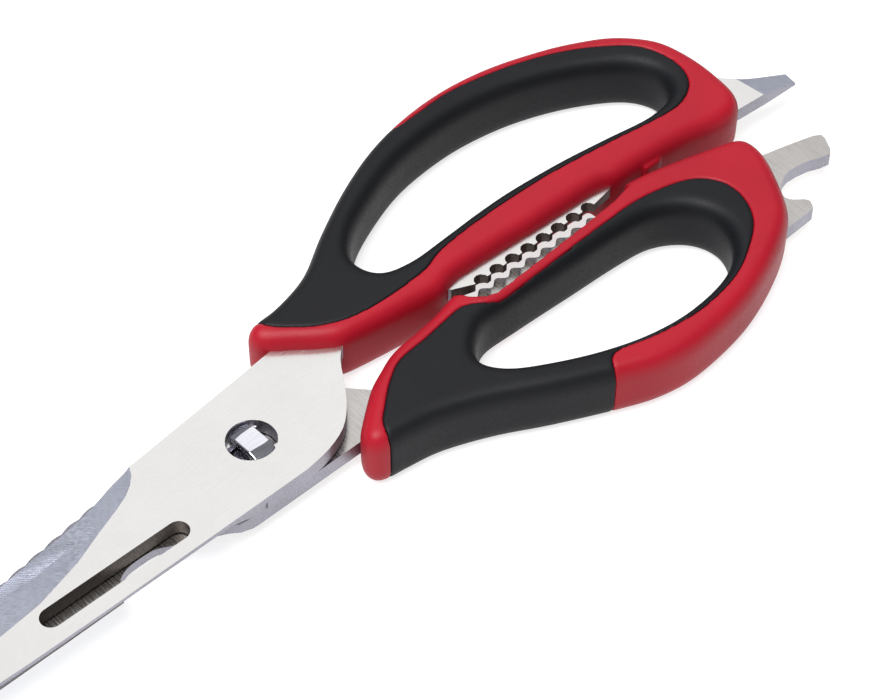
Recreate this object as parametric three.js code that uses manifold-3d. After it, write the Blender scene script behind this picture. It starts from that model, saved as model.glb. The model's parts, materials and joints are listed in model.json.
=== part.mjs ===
// Take-apart poultry shears, lying flat and closed.
// Millimetres. The origin is the centre of the rivet's flush underside, on the pivot axis.
// +X runs from the pivot towards the handles, +Y towards the upper handle, +Z up.
// Each half is one full-tang steel stamping with a hard moulded handle core around its tang
// and a soft grip moulded over the core. The two halves share one hinge, the pivot stud.
import * as THREE from 'three';
import { mergeVertices } from 'three/addons/utils/BufferGeometryUtils.js';
import Module from 'manifold-3d';

const wasm = await Module();
wasm.setup();

// Driving dimensions
const PLATE_T = 3.0; // steel stampings
const GAP = 0.3; // clearance between pieces that touch
const LOWER_Z = 0; // underside of the lower blade
const UPPER_Z = LOWER_Z + PLATE_T + GAP; // underside of the upper blade
const HANDLE_T = 12.6;
const HANDLE_Z = LOWER_Z + PLATE_T + GAP / 2 - HANDLE_T / 2; // underside of both handles
const EDGE_ROUND = 2.5; // rounding of the handles, across
const EDGE_DROP = 3.4; // rounding of the handles, in height
const CORE_SKIN = 1.5; // hard plastic above and below a tang
const GRIP_SKIN = 1.6; // soft plastic around the core's inner frame
const PIVOT_BORE_R = 4.55;
const LEDGE_T = 1.5; // keyed ledge at the bottom of the pivot bore
const SHANK_R = 2.1;
const FOOT_R = 5.2; // flush rivet foot in the lower blade
const FOOT_T = 1.1;
const BAR_LENGTH = 8.6; // double-D locking bar on top of the stud
const BAR_WIDTH = 4.6;
const BAR_ANGLE = 1.62; // radians, the bar's long axis at rest
const BAR_PROUD = 0.2; // bar above the upper blade's face
const SLOT_FRONT = -47.2; // weight-saving slot in the upper blade
const SLOT_REAR = -21.4;
const SLOT_R = 2.05;
const SLOT_Y = -7.4;
const TOOTH_PITCH = 3.95; // nut-cracker jaws
const TOOTH_COUNT = 8;
const CUP_START = 55.2; // middle of the first cup in the upper jaw
const CUP_R = 1.5;
const CUP_Y = 1.72; // tips between the cups
const CUP_RISE = 0.017; // slope of the row of cups
const WAVE_START = 53.6; // the lower jaw is a wave that nests in the cups
const WAVE_Y = 2.0;
const WAVE_HALF = 0.6;
const SCALLOP_PITCH = 4.1; // fish-scaler spine
const SCALLOP_DEPTH = 0.4;
const SCALLOP_COUNT = 9;
const SCALLOP_REAR = [-26.6, 9.3];
const SCALLOP_SLOPE = 0.157;
const EDGE_LAND = 0.35; // steel left at a cutting edge

const STEEL = { color: 0xe0dfdc, roughness: 0.32, metalness: 1.0 };
const POLISHED_STEEL = { color: 0xe8e8e8, roughness: 0.12, metalness: 1.0 };
const RED_PLASTIC = { color: 0xb8202e, roughness: 0.5, metalness: 0.0 };
const BLACK_RUBBER = { color: 0x26272a, roughness: 0.75, metalness: 0.0 };

// Solids
function solid(geometry) {
  const bare = geometry.index ? geometry.toNonIndexed() : geometry.clone();
  bare.deleteAttribute('normal');
  bare.deleteAttribute('uv');
  const merged = mergeVertices(bare, 1e-4);
  const vertProperties = new Float32Array(merged.attributes.position.array);
  const triVerts = new Uint32Array(merged.index.array);
  return new wasm.Manifold(new wasm.Mesh({ numProp: 3, vertProperties, triVerts }));
}

function geometryOf(manifold) {
  const mesh = manifold.getMesh();
  const geometry = new THREE.BufferGeometry();
  geometry.setAttribute('position', new THREE.BufferAttribute(mesh.vertProperties, 3));
  geometry.setIndex(new THREE.BufferAttribute(mesh.triVerts, 1));
  geometry.computeVertexNormals();
  return geometry;
}

const vectors = (pairs) => pairs.map(([x, y]) => new THREE.Vector2(x, y));

// A closed curve through a few points
function ring(pairs, steps = 3) {
  const points = pairs.map(([x, y]) => new THREE.Vector3(x, y, 0));
  const curve = new THREE.CatmullRomCurve3(points, true, 'centripetal');
  return curve.getPoints(pairs.length * steps).slice(0, -1).map((p) => new THREE.Vector2(p.x, p.y));
}

// An open curve through a few points
function sweep(pairs, steps = 3) {
  const points = pairs.map(([x, y]) => new THREE.Vector3(x, y, 0));
  const curve = new THREE.CatmullRomCurve3(points, false, 'centripetal');
  return curve.getPoints((pairs.length - 1) * steps).map((p) => new THREE.Vector2(p.x, p.y));
}

// The same outline moved out by a distance, or in when it is negative
function grown(outline, distance) {
  const count = outline.length;
  const turn = THREE.ShapeUtils.isClockWise(outline) ? -1 : 1;
  return outline.map((point, i) => {
    const before = outline[(i + count - 1) % count];
    const after = outline[(i + 1) % count];
    const a = new THREE.Vector2().subVectors(point, before).normalize();
    const b = new THREE.Vector2().subVectors(after, point).normalize();
    const normal = new THREE.Vector2(a.y + b.y, -a.x - b.x).normalize();
    const miter = Math.min(1 / Math.max(normal.dot(new THREE.Vector2(a.y, -a.x)), 0.4), 2);
    return point.clone().addScaledVector(normal, turn * distance * miter);
  });
}

function prism(outline, z0, z1) {
  const settings = { depth: z1 - z0, bevelEnabled: false };
  const geometry = new THREE.ExtrudeGeometry(new THREE.Shape(outline), settings);
  return solid(geometry.translate(0, 0, z0));
}

// A slab with a hole and rounded rims
function roundedSlab(outline, hole, z0, z1) {
  const shape = new THREE.Shape(outline);
  shape.holes.push(new THREE.Path(hole));
  const geometry = new THREE.ExtrudeGeometry(shape, {
    depth: z1 - z0 - 2 * EDGE_DROP,
    bevelThickness: EDGE_DROP,
    bevelSize: EDGE_ROUND,
    bevelOffset: -EDGE_ROUND,
    bevelSegments: 3,
  });
  return solid(geometry.translate(0, 0, z0 + EDGE_DROP));
}

// A closed bar through cross-sections, each a list of [x, y, z] corners
function loft(sections) {
  const corners = sections[0].length;
  const triangles = [];
  const triangle = (a, b, c) => triangles.push(...a, ...b, ...c);
  for (let i = 0; i + 1 < sections.length; i += 1) {
    for (let j = 0; j < corners; j += 1) {
      const k = (j + 1) % corners;
      triangle(sections[i][j], sections[i + 1][j], sections[i + 1][k]);
      triangle(sections[i][j], sections[i + 1][k], sections[i][k]);
    }
  }
  const last = sections[sections.length - 1];
  for (let j = 1; j + 1 < corners; j += 1) {
    triangle(sections[0][0], sections[0][j], sections[0][j + 1]);
    triangle(last[0], last[j + 1], last[j]);
  }
  const geometry = new THREE.BufferGeometry();
  geometry.setAttribute('position', new THREE.Float32BufferAttribute(triangles, 3));
  return solid(geometry);
}

function cylinder(radius, z0, z1, segments = 48) {
  const geometry = new THREE.CylinderGeometry(radius, radius, z1 - z0, segments);
  return solid(geometry.rotateX(Math.PI / 2).translate(0, 0, (z0 + z1) / 2));
}

const meshes = new THREE.Group();

function add(name, manifold, finish) {
  const mesh = new THREE.Mesh(geometryOf(manifold), new THREE.MeshStandardMaterial(finish));
  mesh.name = name;
  meshes.add(mesh);
}

// Nut-cracker jaws: a row of round cups above, a wave below, both from +X to -X
function cups() {
  const steps = 6;
  const points = [];
  for (let i = TOOTH_COUNT - 1; i >= 0; i -= 1) {
    const middle = CUP_START + TOOTH_PITCH * i;
    for (let j = 0; j <= steps; j += 1) {
      const turn = (Math.PI * j) / steps;
      const height = CUP_Y + CUP_RISE * (middle - CUP_START);
      points.push([middle + CUP_R * Math.cos(turn), height + CUP_R * Math.sin(turn)]);
    }
  }
  return vectors(points);
}

function waves() {
  const steps = 8;
  const points = [];
  for (let i = TOOTH_COUNT * steps; i >= 0; i -= 1) {
    const turn = (2 * Math.PI * i) / steps;
    points.push([WAVE_START + (TOOTH_PITCH * i) / steps, WAVE_Y - WAVE_HALF * Math.cos(turn)]);
  }
  return vectors(points);
}

// What a grinding wheel takes off beside a cutting edge. Each station is [x, edgeY, faceY, depth]: the
// grind leaves the plate's face at faceY and is depth deep at edgeY. The edge lies to one side of the
// plate along Y, and the face looks out along Z, each +1 or -1.
function bevel(stations, faceZ, side, out) {
  const sections = stations.map(([x, edgeY, faceY, depth]) => {
    const slope = depth / Math.abs(edgeY - faceY);
    return [
      [x, edgeY + side, faceZ - out * (depth + slope)],
      [x, faceY - side / slope, faceZ + out],
      [x, edgeY + side, faceZ + out],
    ];
  });
  return loft(side * out > 0 ? sections : sections.map((section) => [...section].reverse()));
}

// Upper half: blade, jaw, tang and screwdriver in one stamping
const UPPER_SPINE = [[3, -11.4], [-25, -12.1], [-55, -12.6], [-72, -12.1], [-86, -10.1], [-98, -6.0]];
const UPPER_EDGE = [
  [-98, -5.2], [-80, -0.6], [-60, 3.4], [-40.3, 5.75], [-34, 6.35], [-30.5, 6.75], [-26.5, 7.8],
  [-23.5, 8.7], [-19, 9.25],
];
const UPPER_NECK = [
  [25.6, 6.2], [23.3, 3.9], [20.2, -0.9], [16.9, -5.3], [13.4, -8.4], [8.6, -10.4], [3, -11.4],
];

function upperTangOutline() {
  return [
    ...sweep(UPPER_NECK).slice(0, -1),
    ...sweep(UPPER_SPINE, 2),
    ...sweep(UPPER_EDGE),
    ...vectors([
      [13, 13.5], [16.5, 14], [40, 10.2], [60, 9.6], [85, 9.8], [112, 9.4], [124, 13.4], [126.7, 13.8],
    ]),
    ...sweep([[128, 11.6], [129.8, 9.6], [131.6, 8.2], [141.4, 5.3]]),
    ...vectors([[140.6, 1.9], [131.6, 2.0], [123.3, 2.4], [112, 5], [92, 5], [89.5, 3.2]]),
    ...cups(),
    ...vectors([[49.4, 3.6], [47.8, 5.6], [40, 6.6], [32, 7.6]]),
  ];
}

function upperBlade() {
  const top = UPPER_Z + PLATE_T;
  const bore = cylinder(PIVOT_BORE_R, UPPER_Z + LEDGE_T, top + 1);
  const key = prism(barOutline(BAR_LENGTH + 2 * GAP, BAR_WIDTH + 2 * GAP, 0.08), UPPER_Z - 1, top);
  const slot = prism(slotOutline(), UPPER_Z - 1, top + 1);
  const edgeBevel = bevel([
    [-103, -6.6, -15.9, 2.65], [-80, -0.6, -9.9, 2.65], [-60, 3.4, -5.9, 2.65], [-47, 5.1, -4.2, 2.65],
    [-37.6, 6.1, -1.5, 2.17], [-30.5, 6.75, 1.5, 1.5], [-26.5, 7.8, 3.05, 1.35], [-23.5, 8.7, 4.4, 1.23],
    [-21.4, 9.0, 5.9, 0.88], [-19.9, 9.2, 7.5, 0.48], [-19.1, 9.3, 9.2, 0.03],
  ], top, 1, 1);
  const spineRelief = bevel([
    [-103, -9.5, -7.2, 2.2], [-86, -11, -8.6, 2.2], [-60, -12.6, -10, 2.2], [-14, -11.9, -9.6, 2.2],
    [-6, -11.7, -11.2, 2.2],
  ], UPPER_Z, -1, -1);
  const jawRelief = bevel([[50, 1.6, 4.5, 1.1], [90, 2.2, 5.1, 1.1]], UPPER_Z, -1, -1);
  const tipFacet = loft([[131.2, 1.9, 130.2, 9.2], [142.5, 0.5, 141.5, 7.5]].map(([x0, y0, x1, y1], i) => [
    [x0, y0 - 2, top - i * 2.9],
    [x1, y1 + 2, top - i * 2.9],
    [x1, y1 + 2, top + 2],
    [x0, y0 - 2, top + 2],
  ]).reverse());
  return prism(upperTangOutline(), UPPER_Z, top)
    .subtract(bore).subtract(key).subtract(slot)
    .subtract(edgeBevel).subtract(spineRelief).subtract(jawRelief).subtract(tipFacet);
}

function slotOutline() {
  const outline = new THREE.Shape();
  outline.absarc(SLOT_FRONT, SLOT_Y - 0.2, SLOT_R, Math.PI / 2, Math.PI * 1.5);
  outline.absarc(SLOT_REAR, SLOT_Y + 0.2, SLOT_R, -Math.PI / 2, Math.PI / 2);
  return outline.getPoints(10).filter((p, i, all) => i === 0 || p.distanceTo(all[i - 1]) > 1e-3);
}

// The stud's double-D bar, and the keyed slot that it passes through only when wide open
function barOutline(length, width, angle) {
  const half = Math.asin(width / length);
  const outline = new THREE.Shape();
  outline.absarc(0, 0, length / 2, angle - half, angle + half);
  outline.absarc(0, 0, length / 2, angle + Math.PI - half, angle + Math.PI + half);
  return outline.getPoints(6);
}

// Lower half: blade, bone notch, scaler spine, jaw, tang and bottle hook in one stamping
const LOWER_SPINE_TIP = [[-63.6, 3.3], [-80, -0.3], [-90, -2.7], [-98, -5.0]];
const LOWER_EDGE = [[-98, -5.7], [-85, -9.5], [-70, -11.2], [-53, -11.1], [-35.4, -10.5]];
const BONE_NOTCH = [
  [-34.6, -8.2], [-33.2, -6.7], [-31.2, -5.7], [-28, -5.4], [-25.2, -5.6], [-22.6, -6.9], [-19, -7.8],
  [-15, -8.9], [-11.5, -10.9],
];
const HOOK = [
  [117, -24], [118.1, -22.2], [117.6, -21.2], [116, -19.9], [115.2, -18.5], [116.2, -16.3], [118.4, -14.9],
  [121, -14], [126.3, -14.6], [130.9, -16], [132.7, -13.7], [133.7, -11.2], [130, -9.7], [120.3, -7.4],
];

function scallops() {
  const steps = 4;
  const [startX, startY] = SCALLOP_REAR;
  const points = [];
  for (let i = 0; i < SCALLOP_COUNT * steps; i += 1) {
    const run = (SCALLOP_PITCH * i) / steps;
    const dip = SCALLOP_DEPTH * (1 - Math.abs(Math.sin((Math.PI * i) / steps)));
    points.push([startX - run, startY - SCALLOP_SLOPE * run - dip]);
  }
  return vectors(points);
}

function lowerTangOutline() {
  return [
    ...vectors([[21.5, 0.6], [14, 6.4], [4, 9.4], [-10, 9.4], [-22, 8.9]]),
    ...scallops(),
    ...sweep(LOWER_SPINE_TIP),
    ...sweep(LOWER_EDGE),
    ...sweep(BONE_NOTCH),
    ...vectors([
      [-8, -11.1], [15.5, -10.6], [30, -11], [36.5, -9], [44, -4.6], [60, -4.7], [90, -4.6], [99.5, -6.5],
      [106, -12], [107, -19], [105.4, -22.6], [109.5, -24.4],
    ]),
    ...sweep(HOOK, 2),
    ...vectors([[108, -5.4], [96, -2.4], [89.5, -1.6], [87.4, 1.0]]),
    ...waves(),
    ...vectors([[52.6, 0.9], [51.4, -1.6], [44, -1.9], [33, -3.6], [26, -4.2]]),
  ];
}

function lowerBlade() {
  const top = LOWER_Z + PLATE_T;
  const rivetHole = cylinder(SHANK_R + 1.2 + GAP, LOWER_Z - 1, top + 1);
  const countersink = cylinder(FOOT_R + GAP, LOWER_Z - 1, LOWER_Z + FOOT_T + GAP);
  const edgeBevel = bevel([
    [-103, -8, -3, 2.65], [-85, -9.5, 2.2, 2.65], [-70, -11.2, 0.4, 2.65], [-50, -11, -1.2, 2.65],
    [-36, -10.5, -2.2, 2.4], [-31, -5.7, -2.6, 1.2], [-25, -5.6, -2.6, 1.2], [-20, -7.6, -4.6, 1.2],
    [-13, -10.2, -7.2, 1.1], [-9, -11.2, -11.0, 0.07],
  ], LOWER_Z, -1, -1);
  const spineBevel = bevel([
    [-24.5, 9.4, 9.1, 0.04], [-27, 9.2, 6.9, 0.3], [-45, 6.4, 4.1, 0.3], [-63, 3.6, 1.3, 0.3],
    [-66, 2.9, 2.6, 0.04],
  ].reverse(), top, 1, 1);
  return prism(lowerTangOutline(), LOWER_Z, top)
    .subtract(rivetHole).subtract(countersink)
    .subtract(edgeBevel).subtract(spineBevel);
}

// Pivot stud: flush foot, shank and double-D locking bar, turned and milled from one bar
function pivotStud() {
  const barZ = UPPER_Z + LEDGE_T + GAP;
  const top = UPPER_Z + PLATE_T + BAR_PROUD;
  const profile = vectors([
    [0, LOWER_Z], [FOOT_R, LOWER_Z], [FOOT_R, LOWER_Z + FOOT_T], [SHANK_R + 1.2, LOWER_Z + FOOT_T],
    [SHANK_R + 1.2, LOWER_Z + PLATE_T], [SHANK_R, LOWER_Z + PLATE_T], [SHANK_R, barZ + 0.4], [0, barZ + 0.4],
  ]);
  const turned = solid(new THREE.LatheGeometry(profile, 48).rotateX(Math.PI / 2));
  const bar = prism(barOutline(BAR_LENGTH, BAR_WIDTH, BAR_ANGLE), barZ, top);
  const crown = solid(new THREE.CylinderGeometry(BAR_LENGTH * 0.36, BAR_LENGTH * 0.56, top - barZ, 32)
    .rotateX(Math.PI / 2).translate(0, 0, (top + barZ) / 2));
  return turned.add(bar.intersect(crown));
}

// Handles: outlines at mid height
const UPPER_HANDLE = [
  [30, 5.4], [36, 4.7], [44, 3.9], [47.8, 3.7], [50.6, 4.5], [54, 4.9], [62, 4.8], [72, 4.5], [84, 4.4],
  [88.6, 4.1], [92, 3.2], [98, 3.0], [110, 2], [120, 0.5], [125, 3.4], [126.8, 10], [127.2, 18], [125.6, 26],
  [120, 32.8], [112.9, 37], [105.5, 40], [94.5, 43], [83.3, 44.1], [72, 43.1], [61.3, 40.3], [50.5, 35.5],
  [39.8, 29.3], [30.5, 23.2], [22, 20.4], [16.6, 19.9], [14.8, 19.3], [13.6, 17.8], [13.6, 15.9],
  [14.7, 14.2], [18.6, 11.2], [22.4, 8.2], [25.8, 6.2],
];
const UPPER_OPENING = [
  [47.5, 13], [56, 13.5], [66, 14.3], [75, 14.5], [87, 13.9], [98, 12.7], [108, 11.6], [115.4, 13.2],
  [118.2, 18.6], [115.6, 24.6], [107, 30.2], [96.8, 34.1], [87, 36], [77, 36.3], [65, 34.6], [54.4, 30.7],
  [45.4, 25.8], [40.3, 20], [41.6, 14.6],
];
const LOWER_HANDLE = [
  [16.2, -17.5], [20.4, -18], [27.2, -19.2], [36.3, -22.8], [45.4, -27.6], [57.9, -33.4], [65, -35.9],
  [73, -36.8], [84.7, -35.5], [94, -32.8], [103.2, -28.6], [109.2, -24.2], [114, -17], [117.2, -10],
  [116.4, -4.9], [110, -2.6], [101, -0.3], [92.5, 1.2], [80, 1.5], [66, 1.7], [53, 2.0], [48.6, 1.7],
  [45.2, 0.95], [41.5, -0.05], [36, -0.9], [32.4, -1.3], [29, -2.15], [25.4, -3.8], [22.4, -5.3],
  [19.2, -7.7], [16, -10.3], [14, -12.2], [13.05, -14.4], [13.9, -16.5],
];
const LOWER_OPENING = [
  [47, -7.6], [56, -7.1], [70, -7.3], [82, -7.5], [90, -8.5], [95.6, -12.4], [97.1, -18], [94, -24],
  [87.4, -28], [77, -29.6], [67.5, -28.8], [58.5, -26.2], [49.7, -22.2], [42.8, -17.8], [40.8, -13],
];
const JAW_CLEARANCE = [[50.5, 0], [50.5, 8.2], [89, 7.8], [89, 0]]; // under the upper jaw
const LOWER_WINDOW = [
  [53, 6], [48.4, 2.6], [47.6, 0.2], [48.8, -1.9], [51, -3.8], [53.4, -4.5], [65, -3.6], [76, -2.7],
  [85.4, -1.8], [90.6, -0.6], [92, 6],
];
// Meets the lower handle when shut
const STOP_PAD = [[97.6, 4.5], [98.6, 2.3], [102.4, 2.3], [103.4, 4.5]];
const STOP_PAD_Z = [1, 6.6];

// Where the soft grips show: the loop linings, the outer front of one arm and the bow of the other
const UPPER_GRIP = [
  [30, 8.5], [35, 7.9], [39.7, 7.9], [43.9, 8.2], [48, 8.6], [52.6, 10.2], [60, 11.2], [68, 11.6],
  [80, 11.7], [95, 10.5], [108, 9.0], [115, 9.2], [120.5, 12.6], [122.6, 18.6], [121, 25.6],
  [116.5, 30.4], [108, 35.6], [97, 39.4], [84, 41.6], [74, 41], [68.5, 41.2], [64, 47], [46, 41], [22, 30],
  [17, 26], [17.4, 20],
  [16.9, 16.1], [20.8, 13.2], [23.8, 10.9], [26.8, 9.5],
];
const LOWER_GRIP = [
  [18, -13.6], [16.8, -15.6], [16.2, -18], [16, -24], [35, -30], [53, -40], [55.2, -33.4], [58.4, -29],
  [68, -31], [78, -31.8], [88, -30.2], [95.6, -26.6], [101.2, -22.4], [104.2, -17], [104.2, -11.6],
  [100, -6.9], [90, -4.5], [79, -4.7], [68, -5.3], [57.5, -5.8], [51.8, -5.7], [46.6, -2.9],
  [41.6, -3.3], [36.1, -4.2], [31, -4.7], [28.2, -5.5], [25.8, -7], [23.8, -8.4], [20.7, -11.1],
];

function handleHalf(parts) {
  const tangZ = parts.tangZ;
  const opening = ring(parts.opening);
  const outline = ring(parts.outline);
  const slab = roundedSlab(outline, opening, HANDLE_Z, HANDLE_Z + HANDLE_T);
  const body = parts.window ? slab.subtract(parts.window) : slab;
  const low = tangZ - CORE_SKIN;
  const high = tangZ + PLATE_T + CORE_SKIN;
  const grip = prism(parts.grip, HANDLE_Z - 1, HANDLE_Z + HANDLE_T + 1);
  const grownGrip = prism(grown(parts.grip, GAP), HANDLE_Z - 1, HANDLE_Z + HANDLE_T + 1);
  const frameOutline = grown(outline, -GRIP_SKIN);
  const frameHole = grown(opening, GRIP_SKIN);
  const frame = prism(frameOutline, low, high).subtract(prism(frameHole, low - 1, high + 1));
  const frameSpace = prism(grown(frameOutline, GAP), low - GAP, high + GAP)
    .subtract(prism(grown(frameHole, -GAP), low - 2, high + 2));
  const tangSpace = prism(grown(parts.tang, GAP), tangZ - GAP, tangZ + PLATE_T + GAP);
  return {
    core: body.subtract(grownGrip).add(frame.intersect(grownGrip).intersect(body)).subtract(tangSpace),
    grip: body.intersect(grip).subtract(frameSpace),
  };
}

const upper = handleHalf({
  outline: UPPER_HANDLE,
  opening: UPPER_OPENING,
  window: prism(vectors(JAW_CLEARANCE), HANDLE_Z - 1, UPPER_Z),
  grip: vectors(UPPER_GRIP),
  tang: upperTangOutline(),
  tangZ: UPPER_Z,
});
const lower = handleHalf({
  outline: LOWER_HANDLE,
  opening: LOWER_OPENING,
  window: prism(vectors(LOWER_WINDOW), HANDLE_Z - 1, HANDLE_Z + HANDLE_T + 1),
  grip: vectors(LOWER_GRIP),
  tang: lowerTangOutline(),
  tangZ: LOWER_Z,
});

add('upper_blade', upperBlade(), STEEL);
add('lower_blade', lowerBlade(), STEEL);
add('pivot_stud', pivotStud(), POLISHED_STEEL);
const upperTangSpace = prism(grown(upperTangOutline(), GAP), UPPER_Z - GAP, UPPER_Z + PLATE_T + GAP);
const pad = prism(vectors(STOP_PAD), ...STOP_PAD_Z).subtract(upperTangSpace);
add('upper_handle_core', upper.core.add(pad), RED_PLASTIC);
add('upper_grip', upper.grip, BLACK_RUBBER);
add('lower_handle_core', lower.core, RED_PLASTIC);
add('lower_grip', lower.grip, BLACK_RUBBER);

export default meshes;
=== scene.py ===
import json
import math

import bpy
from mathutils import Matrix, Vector

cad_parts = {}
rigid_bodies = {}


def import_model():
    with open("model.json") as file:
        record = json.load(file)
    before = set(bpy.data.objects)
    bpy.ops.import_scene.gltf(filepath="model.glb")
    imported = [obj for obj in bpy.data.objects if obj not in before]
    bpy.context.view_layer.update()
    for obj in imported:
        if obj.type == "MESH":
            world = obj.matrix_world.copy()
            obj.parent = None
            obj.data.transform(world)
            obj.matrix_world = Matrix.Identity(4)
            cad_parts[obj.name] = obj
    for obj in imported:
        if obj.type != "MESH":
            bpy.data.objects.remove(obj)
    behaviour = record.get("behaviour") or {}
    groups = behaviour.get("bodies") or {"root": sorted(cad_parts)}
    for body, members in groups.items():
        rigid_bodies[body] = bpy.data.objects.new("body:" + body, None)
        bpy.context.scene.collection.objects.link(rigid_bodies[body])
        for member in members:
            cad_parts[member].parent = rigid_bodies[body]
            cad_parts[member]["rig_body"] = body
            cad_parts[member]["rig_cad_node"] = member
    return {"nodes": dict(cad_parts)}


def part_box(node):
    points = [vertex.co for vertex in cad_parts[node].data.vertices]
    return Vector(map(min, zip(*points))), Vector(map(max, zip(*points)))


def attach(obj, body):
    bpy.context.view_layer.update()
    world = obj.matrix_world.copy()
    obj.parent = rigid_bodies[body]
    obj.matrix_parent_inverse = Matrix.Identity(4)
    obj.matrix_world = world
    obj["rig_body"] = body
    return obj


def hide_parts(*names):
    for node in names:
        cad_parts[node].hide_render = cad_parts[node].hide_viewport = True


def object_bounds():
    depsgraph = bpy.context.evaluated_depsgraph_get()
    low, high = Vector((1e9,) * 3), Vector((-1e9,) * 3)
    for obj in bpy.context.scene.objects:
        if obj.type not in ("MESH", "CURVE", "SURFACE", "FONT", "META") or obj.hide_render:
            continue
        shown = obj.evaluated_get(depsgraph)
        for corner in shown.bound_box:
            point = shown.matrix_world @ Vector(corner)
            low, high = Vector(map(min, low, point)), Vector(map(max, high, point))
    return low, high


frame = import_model()
cad_low, cad_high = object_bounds()
MM = 0.001


# Camera: a long lens from the front left, above the blades, with the handles running away to the
# right. It stands about 0.4 m from the shears, close enough for the near blade to look larger.
def deselect():
    if bpy.context.object is not None and bpy.context.object.mode != "OBJECT":
        bpy.ops.object.mode_set(mode="OBJECT")
    bpy.ops.object.select_all(action="DESELECT")


deselect()
azimuth, dip = math.radians(42), math.radians(47.37)
sight = Vector((math.sin(azimuth) * math.cos(dip), math.cos(azimuth) * math.cos(dip), -math.sin(dip)))
bpy.ops.object.camera_add(
    location=Vector((-150.288, -213.788, 310.853)) * MM,
    rotation=sight.to_track_quat("-Z", "Y").to_euler(),
)
camera = bpy.context.object
camera.data.lens = 96.83
camera.data.sensor_width = 36
camera.data.clip_start = 0.01
bpy.context.scene.camera = camera


# Studio: the shears lie on a sheet of white acrylic lit from below, so that they throw hardly any shadow.
# One soft box stands where the flat steel mirrors it, and a stronger one hangs overhead.
def linear(colour):
    channels = [int(colour[i : i + 2], 16) / 255 for i in (1, 3, 5)]
    return [c / 12.92 if c <= 0.04045 else ((c + 0.055) / 1.055) ** 2.4 for c in channels] + [1]


def add_node(tree, kind, inputs=None, **settings):
    made = tree.nodes.new(kind)
    for key, value in settings.items():
        setattr(made, key, value)
    for key, value in (inputs or {}).items():
        if isinstance(value, bpy.types.NodeSocket):
            tree.links.new(value, made.inputs[key])
        else:
            made.inputs[key].default_value = value
    return made


def soft_box(name, place, watts):
    """A lamp one metre square, aimed at the jaws"""
    way = Vector((0.02, 0, 0)) - Vector(place)
    bpy.ops.object.light_add(type="AREA", location=place, rotation=way.to_track_quat("-Z", "Y").to_euler())
    light = bpy.context.object
    light.name = name
    light.data.shape = "RECTANGLE"
    light.data.size, light.data.size_y = 1, 1
    light.data.energy = watts


floor_gap = 0.02 * MM
bpy.ops.mesh.primitive_plane_add(size=6, location=(0, 0, cad_low.z - floor_gap))
sweep = bpy.context.object
sweep.name = "floor"

# Opal acrylic, lit from behind: no shine, and its own even glow brings it up to white.
acrylic = bpy.data.materials.new("backlit_white_acrylic")
acrylic.use_nodes = True
sheet = acrylic.node_tree.nodes["Principled BSDF"]
sheet.inputs["Base Color"].default_value = linear("#A8A8A8")
sheet.inputs["Roughness"].default_value = 0.9
sheet.inputs["Specular IOR Level"].default_value = 0.0
sheet.inputs["Emission Color"].default_value = linear("#FFFFFF")
sheet.inputs["Emission Strength"].default_value = 0.72
sweep.data.materials.append(acrylic)
soft_box("mirrored_soft_box", (0.63, 0.70, 1.03), 3.3)
soft_box("overhead_soft_box", (-0.4, -0.05, 1.2), 28)
room = bpy.data.worlds.new("pale_studio")
room.use_nodes = True
room.node_tree.nodes["Background"].inputs["Color"].default_value = linear("#E9EAF0")
room.node_tree.nodes["Background"].inputs["Strength"].default_value = 0.3
bpy.context.scene.world = room
bpy.context.scene.view_settings.view_transform = "Standard"


# Upper blade: a 3 mm stainless stamping. Both faces are belt ground along its length; the cutting
# edge is hollow ground on a wheel, then cut with fine serrations that grip skin and bone.
def stainless(name, colour, shade, roughness, grain, streak, pitch, depth):
    """Ground stainless steel: fine scratches one pitch apart and a streak long, turned by grain degrees"""
    steel = bpy.data.materials.new(name)
    steel.use_nodes = True
    tree = steel.node_tree
    shader = tree.nodes["Principled BSDF"]
    shader.inputs["Metallic"].default_value = 1
    place = add_node(tree, "ShaderNodeTexCoord").outputs["Object"]
    turned = add_node(tree, "ShaderNodeMapping", {"Vector": place, "Rotation": (0, 0, math.radians(-grain))})
    drawn = add_node(tree, "ShaderNodeMapping", {
        "Vector": turned.outputs[0],
        "Scale": (1 / (streak * MM), 1 / (pitch * MM), 1 / (pitch * MM)),
    })
    scratch = add_node(tree, "ShaderNodeTexNoise", {"Vector": drawn.outputs[0], "Scale": 1, "Detail": 3})
    cloud = add_node(tree, "ShaderNodeTexNoise", {"Vector": place, "Scale": 1 / (9 * MM), "Detail": 2})
    mixed = add_node(tree, "ShaderNodeMix", {
        "Factor": 0.25, "A": scratch.outputs["Fac"], "B": cloud.outputs["Fac"],
    })
    tone = add_node(tree, "ShaderNodeValToRGB", {"Fac": mixed.outputs["Result"]})
    tone.color_ramp.elements[0].position = 0.35
    tone.color_ramp.elements[0].color = linear(shade)
    tone.color_ramp.elements[1].position = 0.65
    tone.color_ramp.elements[1].color = linear(colour)
    dull = add_node(tree, "ShaderNodeMapRange", {
        "Value": scratch.outputs["Fac"], "From Min": 0.3, "From Max": 0.7,
        "To Min": roughness - 0.06, "To Max": roughness + 0.08,
    })
    relief = add_node(tree, "ShaderNodeBump", {
        "Height": scratch.outputs["Fac"], "Strength": 1, "Distance": depth * MM,
    })
    tree.links.new(tone.outputs["Color"], shader.inputs["Base Color"])
    tree.links.new(dull.outputs["Result"], shader.inputs["Roughness"])
    tree.links.new(relief.outputs["Normal"], shader.inputs["Normal"])
    return steel


# Fine belt grinding leaves short faint scratches along the blade, and the flat face mirrors softly. The grit
# is finer than the 0.12 mm drawn here, which is as coarse as it needs to be to show.
belt_ground_steel = stainless("belt_ground_stainless", "#D6D5D3", "#CFCDCA", 0.2, 0, 2.5, 0.12, 0.0012)

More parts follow.
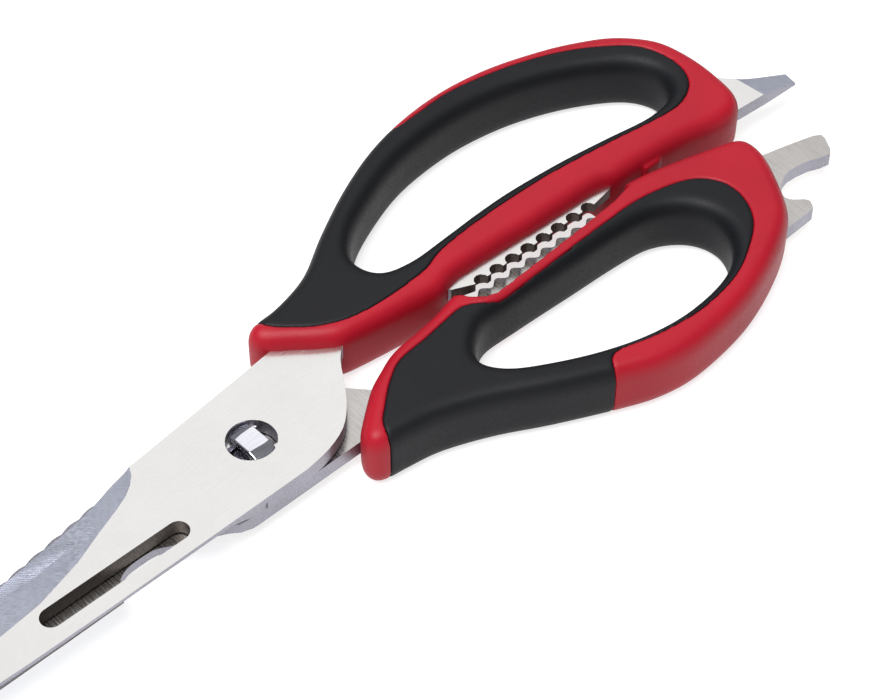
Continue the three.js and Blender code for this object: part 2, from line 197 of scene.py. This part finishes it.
# A coarse wheel leaves long slanting lines, so the bevel looks duller and bluer than the face.
wheel_ground_steel = stainless("wheel_ground_stainless", "#D2D5E2", "#C3C6D4", 0.46, -50, 7, 0.22, 0.004)

# Where the punch sheared the sheet cleanly, the wall is grey and satin, with upright drag marks.
sheared_steel = stainless("sheared_stainless_edge", "#A5A4AE", "#85838B", 0.42, 90, 0.5, 0.3, 0.02)

# Walls inside the slots, between the teeth and along the lower blade's near tip are rough and drawn dark
# brown-grey: painted shade, for walls that lie in shadow and mirror dark surroundings.
shaded_wall_steel = stainless("painted_shade_stainless_edge", "#6E6762", "#463F3C", 0.5, 90, 0.5, 0.3, 0.03)


def pick(piece):
    deselect()
    piece.select_set(True)
    bpy.context.view_layer.objects.active = piece


def apply(piece, kind, **settings):
    pick(piece)
    modifier = piece.modifiers.new(kind.lower(), kind)
    for key, value in settings.items():
        setattr(modifier, key, value)
    bpy.ops.object.modifier_apply(modifier=modifier.name)


def cut(piece, cutter, operation="DIFFERENCE", keep=False):
    apply(piece, "BOOLEAN", operation=operation, object=cutter, solver="EXACT")
    if not keep:
        bpy.data.objects.remove(cutter)


def copy_of_node(node, name):
    pick(frame["nodes"][node])
    bpy.ops.object.duplicate()
    piece = bpy.context.object
    bpy.ops.object.parent_clear(type="CLEAR_KEEP_TRANSFORM")
    del piece["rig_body"]
    del piece["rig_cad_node"]
    piece.name = name
    piece.data.name = name
    piece.data.materials.clear()
    bpy.ops.object.mode_set(mode="EDIT")
    bpy.ops.mesh.select_all(action="SELECT")
    bpy.ops.mesh.remove_doubles(threshold=0.002 * MM)
    bpy.ops.mesh.dissolve_limited(angle_limit=math.radians(0.4))
    bpy.ops.object.mode_set(mode="OBJECT")
    return piece


# The fourth finish is painted shade on walls, the fifth painted light on the jaw faces.
FLAT, GROUND, SHEARED, SHADED_WALL, PAINTED_LIGHT = range(5)


def stamped_steel(node, name, finishes, painted_shade_test, painted_light_test=lambda x, y, z: False):
    """A stamping with broken edges. Two tests pick the walls drawn dark as painted shade and the faces drawn
    pale as painted light.
    """
    piece = copy_of_node(node, name)
    for steel in finishes:
        piece.data.materials.append(steel)
    for face in piece.data.polygons:
        level = abs(face.normal.z)
        # Walls that pass the first test are drawn dark brown-grey: painted shade.
        wall = SHADED_WALL if painted_shade_test(*(face.center / MM)) else SHEARED
        face.material_index = FLAT if level > 0.998 else GROUND if level > 0.3 else wall
        # Faces that pass the second test are drawn pale: painted light.
        if level > 0.3 and painted_light_test(*(face.center / MM)):
            face.material_index = PAINTED_LIGHT
    edges = {"limit_method": "ANGLE", "angle_limit": math.radians(40), "material": FLAT}
    apply(piece, "BEVEL", width=0.08 * MM, segments=1, **edges)
    bpy.ops.object.shade_smooth_by_angle(angle=math.radians(20))
    return piece


upper_blade = stamped_steel(
    "upper_blade", "upper_blade_stamping",
    (belt_ground_steel, wheel_ground_steel, sheared_steel, shaded_wall_steel),
    # The slot and jaw walls picked here are drawn with painted shade.
    painted_shade_test=lambda x, y, z: (-51 < x < -18 and -10.5 < y < -4.5) or (48 < x < 91 and y < 4.5),
)

# Fine serrations, ground one by one across the bevel. Each groove runs out about 2 mm from the edge, and
# the first ones fade in.
grind_way = Vector((0.643, -0.766, 0.3))
cutting_edge = [(-36, 6.2, 3.8), (-47, 5.1, 3.65), (-60, 3.4, 3.65), (-80, -0.6, 4.0), (-94, -4.2, 4.3)]
groove_pitch, groove_depth, fade_length = 0.55, 0.2, 9
serrations_start = cutting_edge[0][0]
deselect()
grooves = []
for one, two in zip(cutting_edge, cutting_edge[1:]):
    one, two = Vector(one), Vector(two)
    count = round((one.x - two.x) / groove_pitch)
    for number in range(count):
        lip = one.lerp(two, number / count)
        deep = groove_depth * min(1, (serrations_start - lip.x) / fade_length)
        bpy.ops.mesh.primitive_cylinder_add(
            vertices=4, radius=groove_depth * MM, depth=6 * MM,
            location=(lip + grind_way * 1.5 + Vector((0, 0, groove_depth - deep))) * MM,
            rotation=grind_way.to_track_quat("Z", "Y").to_euler(),
        )
        grooves.append(bpy.context.object)
for groove in grooves:
    groove.select_set(True)
bpy.ops.object.join()
cut(upper_blade, bpy.context.object)
for face in upper_blade.data.polygons:
    if face.center.x < serrations_start * MM and face.center.y > -4 * MM and 0.3 < face.normal.z < 0.99:
        face.material_index = GROUND
    if face.material_index == GROUND:
        face.use_smooth = False
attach(upper_blade, "upper_half")
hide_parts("upper_blade")


# Lower blade: the same stock, ground across its width, with a scalloped scaling spine, a bone notch in
# its edge and a bottle hook at the far end of its tang.

# Cross grinding leaves long lines over the blade's width, so this face looks greyer and more brushed.
cross_ground_steel = stainless("cross_ground_stainless", "#BFBCB9", "#A5A19D", 0.24, 90, 6, 0.3, 0.003)

# Round the jaw's teeth the faces are matt and even, with no direction, and drawn pale: painted light, for faces
# that lie in the upper plate's shadow.
painted_light_jaw_steel = stainless("painted_light_jaw_stainless", "#F2EFEA", "#DCD9D2", 0.7, 0, 0.5, 0.5, 0.01)
lower_blade = stamped_steel(
    "lower_blade", "lower_blade_stamping",
    (cross_ground_steel, wheel_ground_steel, sheared_steel, shaded_wall_steel, painted_light_jaw_steel),
    # The jaw walls and near-tip walls picked here are drawn with painted shade.
    painted_shade_test=lambda x, y, z: (48 < x < 91 and y > -3) or (x < -33 and y < -5),
    # The jaw faces picked here are drawn pale as painted light.
    painted_light_test=lambda x, y, z: 48 < x < 91 and y > -4.6,
)

# The narrow bevel along the scaling spine is drawn in the darker grey of the sheared walls.
for face in lower_blade.data.polygons:
    if face.material_index == GROUND and face.center.y > 0:
        face.material_index = SHEARED
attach(lower_blade, "lower_half")
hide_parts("lower_blade")


# Pivot stud: turned from stainless bar, milled to a double-D bar on top, polished, and riveted into the
# lower blade with a flush foot.

# Buffed until it mirrors the lamps sharply, with only a trace of the buffing wheel left.
polished_steel = stainless("polished_stainless", "#DCDCE2", "#CFCFD6", 0.1, 0, 3, 0.5, 0.0003)
stud_low, stud_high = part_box("pivot_stud")
foot_radius, foot_height = 5.2 * MM, 1.1 * MM
bpy.ops.mesh.primitive_cylinder_add(
    vertices=64, radius=foot_radius, depth=foot_height, location=(0, 0, stud_low.z + foot_height / 2)
)
stud = bpy.context.object
stud.name = "pivot_stud_turned"
bpy.ops.object.transform_apply(location=True, rotation=True, scale=True)


def choose(piece, test, part="FACE"):
    """In edit mode, select the faces or vertices that pass a test"""
    bpy.ops.object.mode_set(mode="EDIT")
    bpy.ops.mesh.select_mode(type=part)
    bpy.ops.mesh.select_all(action="DESELECT")
    bpy.ops.object.mode_set(mode="OBJECT")
    for item in piece.data.polygons if part == "FACE" else piece.data.vertices:
        item.select = test(item)
    bpy.ops.object.mode_set(mode="EDIT")


choose(stud, lambda face: face.normal.z > 0.9)
bpy.ops.mesh.inset(thickness=1.9 * MM)
bpy.ops.mesh.extrude_region_move(TRANSFORM_OT_translate={"value": (0, 0, 1.9 * MM)})
bpy.ops.mesh.inset(thickness=1.2 * MM)
bpy.ops.mesh.extrude_region_move(TRANSFORM_OT_translate={"value": (0, 0, 2.4 * MM)})
bpy.ops.object.mode_set(mode="OBJECT")

bar_turn = 1.62
bar_radius, bar_half_width = 4.3 * MM, 2.3 * MM
bar_low, bar_high = 5.1 * MM, stud_high.z
crown_flat, crown_slope = 2.0 * MM, 0.38
bpy.ops.mesh.primitive_cylinder_add(
    vertices=96, radius=bar_radius, depth=bar_high - bar_low, location=(0, 0, (bar_low + bar_high) / 2)
)
bar = bpy.context.object
bpy.ops.object.transform_apply(location=True, rotation=True, scale=True)
along = Vector((math.cos(bar_turn), math.sin(bar_turn), 0))
across = Vector((-along.y, along.x, 0))
bpy.ops.object.mode_set(mode="EDIT")
for side in (1, -1):
    mill_cuts = (
        (across * side * bar_half_width, across * side),
        (along * side * crown_flat + Vector((0, 0, bar_high)), along * side * crown_slope + Vector((0, 0, 1))),
    )
    for place, facing in mill_cuts:
        bpy.ops.mesh.select_all(action="SELECT")
        bpy.ops.mesh.bisect(plane_co=place, plane_no=facing, clear_outer=True, use_fill=True)
bpy.ops.object.mode_set(mode="OBJECT")
corners = {"limit_method": "ANGLE", "angle_limit": math.radians(12)}
apply(bar, "BEVEL", width=0.45 * MM, segments=4, **corners)
stud.select_set(True)
bpy.context.view_layer.objects.active = stud
bpy.ops.object.join()
corners["angle_limit"] = math.radians(50)
apply(stud, "BEVEL", width=0.12 * MM, segments=2, **corners)
bpy.ops.object.shade_smooth_by_angle(angle=math.radians(35))
stud.data.materials.append(polished_steel)
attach(stud, "lower_half")
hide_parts("pivot_stud")


# Upper handle: a hard red core moulded round the tang, then a soft black grip moulded over it in a
# second shot. One blank gives both: it is rounded all over, and the parting line splits it in two.
def flowing(corners):
    """A closed smooth line through a few corners, with four steps from each to the next"""
    count, steps = len(corners), 4
    line = []
    for i in range(count):
        a, b, c, d = (Vector(corners[(i + k - 1) % count]) for k in range(4))
        for step in range(steps):
            t = step / steps
            bend = (2 * a - 5 * b + 4 * c - d) * t**2 + (3 * b - a - 3 * c + d) * t**3
            line.append(0.5 * (2 * b + (c - a) * t + bend))
    return line


def trace(lines, height):
    """Draw closed lines by extruding one vertex from corner to corner, then fill between them"""
    bpy.ops.mesh.primitive_plane_add(size=MM)
    drawing = bpy.context.object
    bpy.ops.object.mode_set(mode="EDIT")
    bpy.ops.mesh.select_mode(type="VERT")
    for number, line in enumerate(lines):
        if number:
            bpy.ops.mesh.primitive_plane_add(size=MM)
        bpy.ops.mesh.merge(type="CENTER")
        here = Vector((0, 0, 0))
        for place, (x, y) in enumerate([*line, line[0]]):
            there = Vector((x, y, height)) * MM
            if place:
                bpy.ops.mesh.extrude_region_move(TRANSFORM_OT_translate={"value": there - here})
            else:
                bpy.ops.transform.translate(value=there)
            here = there
        bpy.ops.mesh.select_all(action="DESELECT")
    bpy.ops.mesh.select_all(action="SELECT")
    bpy.ops.mesh.remove_doubles(threshold=0.001 * MM)
    bpy.ops.mesh.fill()
    bpy.ops.mesh.select_mode(type="FACE")
    bpy.ops.mesh.select_all(action="SELECT")
    bpy.ops.mesh.normals_make_consistent(inside=False)
    bpy.ops.object.mode_set(mode="OBJECT")
    upside_down = drawing.data.polygons[0].normal.z < 0
    bpy.ops.object.mode_set(mode="EDIT")
    if upside_down:
        bpy.ops.mesh.flip_normals()
    return drawing


def block(outline, low, high):
    """A straight-sided cutter"""
    deselect()
    cutter = trace([[Vector(c) for c in outline]], low)
    bpy.ops.mesh.select_all(action="SELECT")
    bpy.ops.mesh.extrude_region_move(TRANSFORM_OT_translate={"value": (0, 0, (high - low) * MM)})
    bpy.ops.mesh.select_all(action="SELECT")
    bpy.ops.mesh.normals_make_consistent(inside=False)
    bpy.ops.object.mode_set(mode="OBJECT")
    return cutter


def rounded_blank(name, outline, opening):
    """A slab with a finger hole, rounded all over, standing on both sides of the mid plane"""
    deselect()
    blank = trace([flowing(outline), flowing(opening)], 0)
    blank.name = name
    straight = handle_half - rim_height
    bpy.ops.mesh.extrude_region_move(TRANSFORM_OT_translate={"value": (0, 0, straight * MM)})
    for step in range(rim_steps):
        one, two = (math.pi / 2 * k / rim_steps for k in (step, step + 1))
        bpy.ops.mesh.inset(
            thickness=rim_width * (math.cos(one) - math.cos(two)) * MM,
            depth=-rim_height * (math.sin(one) - math.sin(two)) * MM,
        )
    choose(blank, lambda face: face.center.z < 0.01 * MM)
    bpy.ops.mesh.delete(type="ONLY_FACE")
    bpy.ops.object.mode_set(mode="OBJECT")
    apply(blank, "MIRROR", use_axis=(False, False, True), merge_threshold=0.005 * MM)
    bpy.ops.object.mode_set(mode="EDIT")
    bpy.ops.mesh.select_all(action="SELECT")
    bpy.ops.mesh.normals_make_consistent(inside=False)
    bpy.ops.transform.translate(value=(0, 0, handle_middle * MM))
    bpy.ops.object.mode_set(mode="OBJECT")
    apply(blank, "REMESH", mode="VOXEL", voxel_size=0.45 * MM)
    apply(blank, "SMOOTH", factor=0.5, iterations=8)
    return blank


handle_half = 6.3
handle_middle = 3.15
rim_width, rim_height, rim_steps = 2.6, 3.6, 7
upper_outline = [
    (30, 5.4), (36, 4.7), (44, 3.9), (47.8, 3.7), (50.6, 4.5), (54, 4.9), (62, 4.8), (72, 4.5), (84, 4.4),
    (88.6, 4.1), (92, 3.2), (98, 3.0), (110, 2), (120, 0.5), (125, 3.4), (126.8, 10), (127.2, 18), (125.6, 26),
    (120, 32.8), (112.9, 37), (105.5, 40), (94.5, 43), (83.3, 44.1), (72, 43.1), (61.3, 40.3), (50.5, 35.5),
    (39.8, 29.3), (30.5, 23.2), (22, 20.4), (16.7, 19.8), (14.9, 19.2), (13.7, 17.8), (13.7, 15.9),
    (14.8, 14.2), (18.6, 11.2), (22.4, 8.2), (25.8, 6.2),
]
upper_opening = [
    (47.5, 13), (56, 13.5), (66, 14.3), (75, 14.5), (87, 13.9), (98, 12.7), (108, 11.6), (115.4, 13.2),
    (118.2, 18.6), (115.6, 24.6), (107, 30.2), (96.8, 34.1), (87, 36), (77, 36.3), (65, 34.6), (54.4, 30.7),
    (45.4, 25.8), (40.3, 20), (41.6, 14.6),
]
upper_parting = [
    (30, 8.4), (35, 7.8), (39.7, 7.8), (43.9, 8.1), (48, 8.6), (52.6, 10.2), (60, 11.2), (68, 11.6), (80, 11.7),
    (95, 10.5), (108, 9.0), (115, 9.2), (120.5, 12.6), (122.6, 18.6), (121, 25.6), (116.5, 30.4), (108, 35.6),
    (97, 39.4), (84, 41.6), (74, 41), (68.5, 41.2), (64, 47), (46, 41), (30, 33), (20, 29), (17.2, 25),
    (17, 20.5), (17.3, 16.9), (20.8, 13.2), (23.8, 10.9), (26.8, 9.4),
]
stop_pad = [(97.6, 4.5), (98.6, 2.3), (102.4, 2.3), (103.4, 4.5)]
jaw_clearance = [(50.5, 0), (50.5, 8.2), (89, 7.8), (89, 0)]
upper_blank = rounded_blank("upper_handle_hard_core", upper_outline, upper_opening)
below, above = handle_middle - handle_half - 2, handle_middle + handle_half + 2
cut(upper_blank, block(stop_pad, 1, 6.6), "UNION")
cut(upper_blank, block(jaw_clearance, below, 3.2))


def moulded(name, colour, shade, roughness, grain, depth, gloss):
    """Moulded plastic with the fine grain of a spark-eroded mould"""
    plastic = bpy.data.materials.new(name)
    plastic.use_nodes = True
    tree = plastic.node_tree
    shader = tree.nodes["Principled BSDF"]
    shader.inputs["IOR"].default_value = 1.5
    shader.inputs["Specular IOR Level"].default_value = gloss
    place = add_node(tree, "ShaderNodeTexCoord").outputs["Object"]
    grit = add_node(tree, "ShaderNodeTexNoise", {"Vector": place, "Scale": 1 / (grain * MM), "Detail": 3})
    cloud = add_node(tree, "ShaderNodeTexNoise", {"Vector": place, "Scale": 1 / (14 * MM), "Detail": 2})
    tone = add_node(tree, "ShaderNodeValToRGB", {"Fac": cloud.outputs["Fac"]})
    tone.color_ramp.elements[0].position = 0.3
    tone.color_ramp.elements[0].color = linear(shade)
    tone.color_ramp.elements[1].position = 0.7
    tone.color_ramp.elements[1].color = linear(colour)
    dull = add_node(tree, "ShaderNodeMapRange", {
        "Value": grit.outputs["Fac"], "From Min": 0.3, "From Max": 0.7,
        "To Min": roughness - 0.05, "To Max": roughness + 0.07,
    })
    relief = add_node(tree, "ShaderNodeBump", {
        "Height": grit.outputs["Fac"], "Strength": 1, "Distance": depth * MM,
    })
    tree.links.new(tone.outputs["Color"], shader.inputs["Base Color"])
    tree.links.new(dull.outputs["Result"], shader.inputs["Roughness"])
    tree.links.new(relief.outputs["Normal"], shader.inputs["Normal"])
    return plastic


# Polypropylene from a lightly textured mould: a deep red with a broad, soft shine. The real grain is about
# 0.1 mm and is drawn coarser here, so that it shows.
red_polypropylene = moulded("textured_red_polypropylene", "#9E0F22", "#940D1F", 0.46, 0.45, 0.02, 0.25)

# Soft-touch rubber: nearly black, with a dull even sheen and the same coarsened grain.
black_rubber = moulded("soft_black_thermoplastic_rubber", "#0E0F13", "#0B0C10", 0.56, 0.4, 0.015, 0.25)


def split(blank, parting, core_name, grip_name):
    """Part a blank along a line seen from above: outside it the hard core, inside it the soft grip"""
    pick(blank)
    bpy.ops.object.duplicate()
    grip = bpy.context.object
    cutter = block(flowing(parting), below, above)
    cut(grip, cutter, "INTERSECT", keep=True)
    cut(blank, cutter)
    for piece, name, plastic in ((blank, core_name, red_polypropylene), (grip, grip_name, black_rubber)):
        piece.name = name
        piece.data.name = name
        apply(piece, "REMESH", mode="VOXEL", voxel_size=0.32 * MM)
        apply(piece, "SMOOTH", factor=0.5, iterations=5)
        bpy.ops.object.shade_smooth()
        piece.data.materials.clear()
        piece.data.materials.append(plastic)
    return blank, grip


upper_core, upper_grip = split(upper_blank, upper_parting, "upper_handle_hard_core", "upper_handle_soft_grip")
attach(upper_core, "upper_half")
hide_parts("upper_handle_core")
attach(upper_grip, "upper_half")
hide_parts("upper_grip")


# Lower handle: made the same way, larger at the front for the fingers, with the red core showing as a
# band round its front edge and as the whole bow at the back.
lower_outline = [
    (16.2, -17.5), (20.4, -18), (27.2, -19.2), (36.3, -22.8), (45.4, -27.6), (57.9, -33.4), (65, -35.9),
    (73, -36.8), (84.7, -35.5), (94, -32.8), (103.2, -28.6), (109.2, -24.2), (114, -17), (117.2, -10),
    (116.4, -4.9), (110, -2.6), (101, -0.3), (92.5, 1.2), (80, 1.5), (66, 1.7), (53, 2.0), (48.6, 1.7),
    (45.2, 0.95), (41.5, -0.05), (36, -0.9), (32.4, -1.3), (29, -2.15), (25.4, -3.8), (22.4, -5.3),
    (19.2, -7.7), (16, -10.3), (14, -12.2), (13.05, -14.4), (13.9, -16.5),
]
lower_opening = [
    (47, -7.6), (56, -7.1), (70, -7.3), (82, -7.5), (90, -8.5), (95.6, -12.4), (97.1, -18), (94, -24),
    (87.4, -28), (77, -29.6), (67.5, -28.8), (58.5, -26.2), (49.7, -22.2), (42.8, -17.8), (40.8, -13),
]
lower_window = [
    (53, 6), (48.4, 2.6), (47.6, 0.2), (48.8, -1.9), (51, -3.8), (53.4, -4.5), (65, -3.6), (76, -2.7),
    (85.4, -1.8), (90.6, -0.6), (92, 6),
]
lower_parting = [
    (18, -13.6), (16.9, -15.7), (16.4, -18.4), (17, -22), (22, -27), (35, -32), (52, -40), (55.2, -33.4),
    (58.4, -29), (68, -31), (78, -31.8), (88, -30.2), (95.6, -26.6), (101.2, -22.4), (104.2, -17),
    (104.2, -11.6), (100, -6.9), (90, -4.5), (79, -4.7), (68, -5.3), (57.5, -5.8), (51.8, -5.7),
    (46.6, -2.9), (41.6, -3.3), (36.1, -4.2), (31, -4.7), (28.2, -5.5), (25.8, -7), (23.8, -8.4), (20.7, -11.1),
]
lower_blank = rounded_blank("lower_handle_hard_core", lower_outline, lower_opening)
cut(lower_blank, block(lower_window, below, above))
lower_core, lower_grip = split(lower_blank, lower_parting, "lower_handle_hard_core", "lower_handle_soft_grip")
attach(lower_core, "lower_half")
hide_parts("lower_handle_core")
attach(lower_grip, "lower_half")
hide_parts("lower_grip")

deselect()
